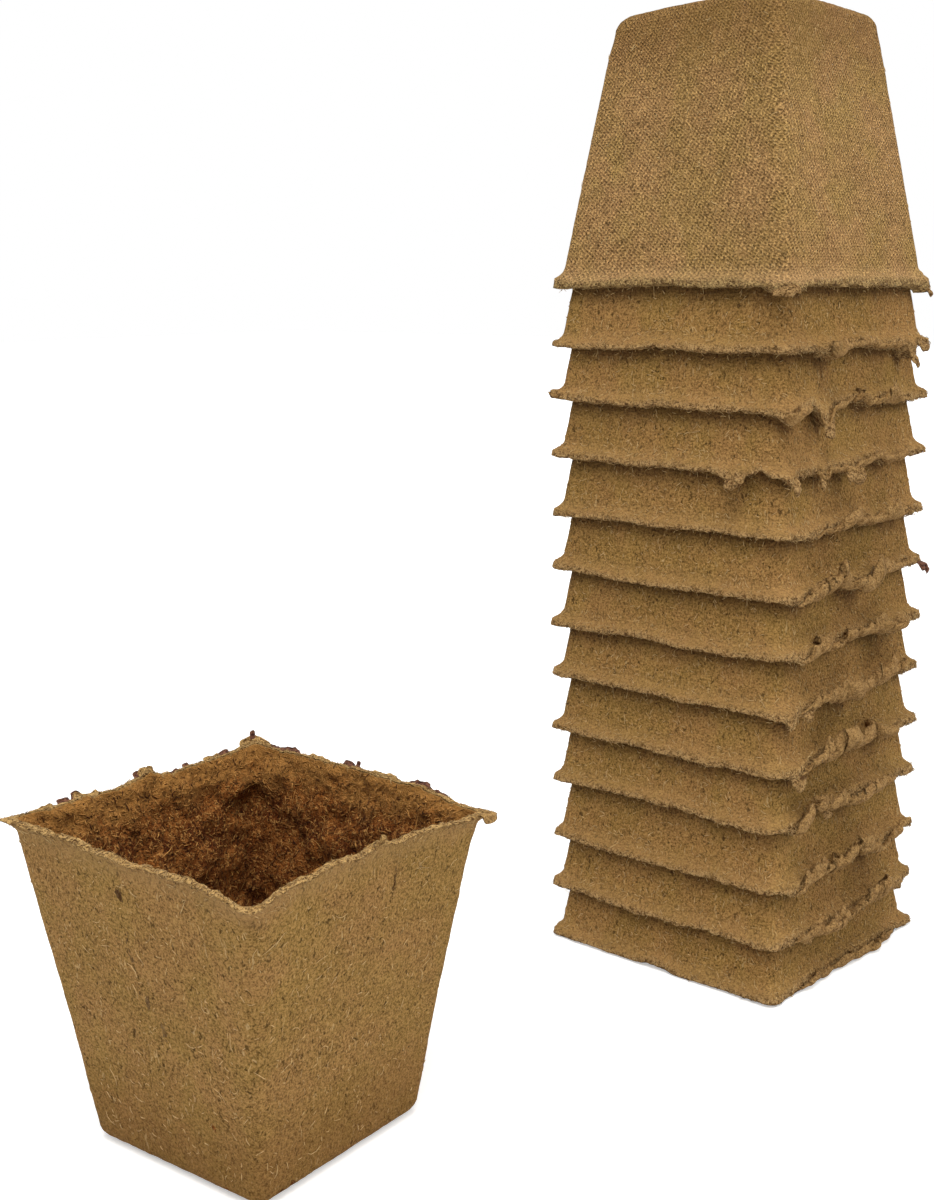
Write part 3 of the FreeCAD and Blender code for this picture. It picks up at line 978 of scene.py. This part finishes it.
# The pots: columns round each kind, steps between its rows, and its looks
STACK_COLUMNS, TOP_COLUMNS, STANDING_COLUMNS = 680, 600, 500
STACK_STEPS = (0.42, 1.1, 7.0, 5.0)
TOP_STEPS = (0.42, 1.1, 1.3, 5.0)
STANDING_STEPS = (0.42, 1.1, 1.2, 4.0)
STACK_LOOKS = {
    "reach": 1.7, "corner": 4.0, "flare": 2.8, "sway": 0.55, "rag": 0.5, "knee": 1.05,
    "opening": 0.25, "crumble": 0.26,
}
TOP_LOOKS = {"flare": 3.4, "knee": 1.35, "crumble": 0.10, "foot_dips": ((0.0, 2.8), (2.0, 1.3))}
# How many pots, from the lowest, are torn most on the right
WILDEST = 8


def stack_pot(number, node):
    """One pot of the stack. The top one, in full view, is drawn finer and its lip is calmer."""
    looks = {**STACK_LOOKS, "features": TORN_PLACES[number], "level": node == BOTTOM_POT}
    seed = 100 + 50 * number
    if node == TOP_POT:
        return Pot(node, TOP_COLUMNS, TOP_STEPS, seed, True, **{**looks, **TOP_LOOKS})
    wild = 1.3 if number < WILDEST else 0.8
    return Pot(node, STACK_COLUMNS, STACK_STEPS, seed, True, wild=wild, **looks)


pots = [stack_pot(number, node) for number, node in enumerate(STACK)]
for lower, upper in zip(pots, pots[1:]):
    lower.above = upper
standing = Pot(
    STANDING, STANDING_COLUMNS, STANDING_STEPS, 7, False,
    reach=1.0, corner=3.2, near_corner=0.4, ear=0.9, flare=2.6, sway=0.4, rag=0.45, knee=0.3,
    opening=1.2, crumble=0.2, lump=1.6, wave=0.35, features=STANDING_TORN_PLACES, ridges=RIDGES,
)

shell_material = pressed_fibre("pressed_fibre_stack", TAN_STACK, LIP_STACK, 0.35, 1.0)
top_material = pressed_fibre("pressed_fibre_top", TAN_TOP, LIP_TOP, 1.0, 0.8, rows=True)
standing_material = pressed_fibre("pressed_fibre_standing", TAN_STANDING, LIP_STANDING, 0.15, 1.0)
loose_material = loose_fibre()
scrap_material = bark_scraps()

for number, pot in enumerate(pots):
    pot.build(top_material if pot.node == TOP_POT else shell_material)
    strip_piece(pot, "_torn_strips", STRIPS[number], shell_material)
strip_piece(pots[SCRAPS_POT], "_scraps", STACK_SCRAPS, scrap_material)
standing.build(standing_material)
strip_piece(standing, "_torn_strips", STANDING_STRIPS, standing_material)
strip_piece(standing, "_scraps", SCRAPS, scrap_material)


# The loose fibres of each pot
def rows_where(pot, zone, low, high):
    """First and last row of a zone between two depths."""
    depths = pot.rows[:, DEPTH]
    hit = np.where((pot.rows[:, ZONE] == zone) & (depths >= low) & (depths <= high))[0]
    return hit[0], hit[-1]


def rim_rows(pot, deep):
    """Rows from a depth on the outside to the end of the torn face."""
    return rows_where(pot, OUTSIDE, 0, deep)[0], rows_where(pot, TORN, 0, 1)[1]


def stack_fibres(pot, number):
    """Straws on the wall, fuzz and longer hairs on the rim, most on the right."""
    seed = 4000 + 10 * number
    top = pot.node == TOP_POT
    wall = rows_where(pot, OUTSIDE, 2.2, 75 if top else 20)
    rim = rim_rows(pot, 2.4)
    straws, fuzz, hairs, right_hairs = (900, 300, 30, 60) if top else (600, 1100, 160, 700)
    right = (1.02, 2.02)
    return [
        strands(pot, straws, wall, (0.8, 2.6), (0.20, 0.34), 1.2, 0.2, seed, tone=(0.8, 1.0)),
        strands(pot, fuzz, rim, (0.6, 2.0), (0.10, 0.22), 1.3, 0.22, seed + 1),
        strands(pot, hairs, rim, (1.2, 3.2), (0.10, 0.20), 1.3, 1.3, seed + 3),
        strands(pot, right_hairs, rim, (0.8, 2.6), (0.10, 0.24), 1.4, 0.7, seed + 2, right),
    ]


def mark(pot, seed, count, place, depth, half_width, half_height, tone):
    """A small dark patch of matted fibre."""
    rows = rows_where(pot, OUTSIDE, depth - half_height, depth + half_height)
    columns = (place - half_width / SIDE, place + half_width / SIDE)
    return strands(pot, count, rows, (0.6, 1.3), (0.22, 0.42), 0.3, 0.08, seed, columns, tone)


def standing_fibres(pot):
    """Straws, curly hairs, fuzz and dark marks of the outside."""
    wall = rows_where(pot, OUTSIDE, 1.5, 75)
    rim = rim_rows(pot, 1.6)
    return [
        strands(pot, 900, wall, (0.8, 2.4), (0.18, 0.30), 1.2, 0.18, 9001, tone=(0.7, 1)),
        strands(pot, 130, wall, (2.0, 6.0), (0.20, 0.32), 1.0, 0.3, 9005, tone=(0.8, 1), curl=1.2),
        strands(pot, 1500, rim, (0.6, 2.0), (0.09, 0.20), 1.3, 0.4, 9002),
        mark(pot, 9010, 44, 0.47, 9.5, 0.9, 1.7, (0.02, 0.2)),
        mark(pot, 9011, 14, 0.475, 22.0, 0.8, 5.0, (0.1, 0.3)),
        mark(pot, 9012, 26, 0.52, 35.0, 0.7, 1.5, (0.1, 0.28)),
        mark(pot, 9013, 16, 0.58, 42.0, 0.8, 2.5, (0.15, 0.3)),
        mark(pot, 9014, 18, 1.60, 11.0, 0.4, 3.0, (0.05, 0.25)),
    ]


def inner_fibres(pot):
    rows = rows_where(pot, INSIDE, 1.0, 76)
    short = strands(pot, 10500, rows, (0.7, 2.2), (0.16, 0.36), 1.3, 0.5, 9003, curl=0.3, steps=3, inside=1)
    long = strands(
        pot, 500, rows, (2.0, 5.0), (0.18, 0.32), 1.2, 0.8, 9004, curl=0.7, tone=(0.5, 1), inside=1
    )
    return [short, long]


for number, pot in enumerate(pots):
    strand_piece(pot, "_fibres", stack_fibres(pot, number), loose_material)
strand_piece(standing, "_fibres", standing_fibres(standing), loose_material)
strand_piece(standing, "_inner_fibres", inner_fibres(standing), loose_material)


# Floor, light and camera
AMBIENT = 0.30
AMBIENT_TINT = (0.94, 0.97, 1.0, 1.0)
WHITE = (1.0, 1.0, 1.0, 1.0)
FLOOR_WHITE = 0.42
FLOOR_HALF = 4.0
FLOOR_DROP = 0.0002
FLOOR_TURNS_WHITE = (0.3, 1.2)
CAMERA_AZIMUTH = 36.26
CAMERA_PITCH = 8.834
CAMERA_ROLL = -0.197
CAMERA_FROM_POT = Vector((271.40, -261.07, 206.17))
LENS = 48.54
SHIFT = (-0.0449, -0.0622)
LAMPS_AIM = Vector((0, 0, 0.13))
# Name, azimuth (0 is on the -Y side) and elevation in degrees, distance and size in metres,
# watts, and tint
LAMPS = (
    ("key", CAMERA_AZIMUTH - 4, 60, 1.5, 0.9, 19.0, (1.0, 0.98, 0.95)),
    ("right", CAMERA_AZIMUTH + 86, 30, 1.6, 1.0, 11.0, (1.0, 0.99, 0.97)),
    ("left", CAMERA_AZIMUTH - 78, 30, 1.6, 1.0, 5.0, (0.98, 0.99, 1.0)),
    ("top", CAMERA_AZIMUTH + 180, 72, 1.5, 1.0, 6.0, (1.0, 1.0, 1.0)),
)


def floor_paper():
    """White paper that keeps the shadow, seen as plain white further out."""
    t = Tree(bpy.data.materials.new("floor_paper"))
    place = t.place()
    tint = t.mix(t.noise(place, 40, 3), colour(236, 236, 235), colour(242, 242, 241))
    paper = t.add("ShaderNodeBsdfPrincipled", Base_Color=tint, Roughness=0.9)
    away = t.add("ShaderNodeVectorMath", (place,), {"operation": "LENGTH"})
    seen = t.add("ShaderNodeLightPath").outputs["Is Camera Ray"]
    white = t.ramp(away.outputs["Value"], *FLOOR_TURNS_WHITE, FLOOR_WHITE, 1.0)
    glow = t.add("ShaderNodeEmission", Strength=t.times(white, seen))
    both = t.add("ShaderNodeAddShader", (paper.outputs[0], glow.outputs[0]))
    t.add("ShaderNodeOutputMaterial", Surface=both.outputs[0])
    return t.owner


def stage_floor():
    a = FLOOR_HALF
    mesh = bpy.data.meshes.new("floor")
    mesh.from_pydata([(-a, -a, 0), (a, -a, 0), (a, a, 0), (-a, a, 0)], [], [(0, 1, 2, 3)])
    mesh.materials.append(floor_paper())
    floor = bpy.data.objects.new("floor", mesh)
    floor.location.z = -FLOOR_DROP
    bpy.context.scene.collection.objects.link(floor)


def studio_world():
    """Pale light from all round, and plain white where it is seen itself."""
    t = Tree(bpy.data.worlds.new("studio"))
    path = t.add("ShaderNodeLightPath").outputs
    seen = t.math("MAXIMUM", path["Is Camera Ray"], path["Is Glossy Ray"])
    seen = t.math("MAXIMUM", seen, path["Is Transmission Ray"])
    ambient = t.add("ShaderNodeBackground", Color=AMBIENT_TINT, Strength=AMBIENT)
    white = t.add("ShaderNodeBackground", Color=WHITE, Strength=1.0)
    mix = t.add("ShaderNodeMixShader", (seen, ambient.outputs[0], white.outputs[0]))
    t.add("ShaderNodeOutputWorld", Surface=mix.outputs[0])
    bpy.context.scene.world = t.owner


def lamp(name, azimuth, elevation, distance, size, watts, tint):
    a, e = math.radians(azimuth), math.radians(elevation)
    back = Vector((math.sin(a) * math.cos(e), -math.cos(a) * math.cos(e), math.sin(e)))
    data = bpy.data.lights.new(name, "AREA")
    data.shape = "SQUARE"
    data.size = size
    data.energy = watts
    data.color = tint
    light = bpy.data.objects.new(name, data)
    light.location = LAMPS_AIM + back * distance
    light.rotation_euler = back.to_track_quat("Z", "Y").to_euler()
    bpy.context.scene.collection.objects.link(light)


def photo_camera():
    """The camera fitted to the photo, placed from the standing pot."""
    data = bpy.data.cameras.new("camera")
    data.sensor_fit = "VERTICAL"
    data.sensor_height = 36
    data.lens = LENS
    data.shift_x, data.shift_y = SHIFT
    data.clip_start, data.clip_end = 0.01, 20
    low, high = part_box(STANDING)
    centre = (low + high) / 2
    eye = Vector((centre.x, centre.y, 0)) + CAMERA_FROM_POT * MM
    turn = Matrix.Rotation(math.radians(CAMERA_AZIMUTH), 4, "Z")
    tilt = Matrix.Rotation(math.radians(90 - CAMERA_PITCH), 4, "X")
    roll = Matrix.Rotation(math.radians(CAMERA_ROLL), 4, "Z")
    camera = bpy.data.objects.new("camera", data)
    camera.matrix_world = Matrix.Translation(eye) @ turn @ tilt @ roll
    bpy.context.scene.collection.objects.link(camera)
    bpy.context.scene.camera = camera


stage_floor()
studio_world()
for settings in LAMPS:
    lamp(*settings)
photo_camera()
bpy.context.scene.view_settings.view_transform = "Standard"
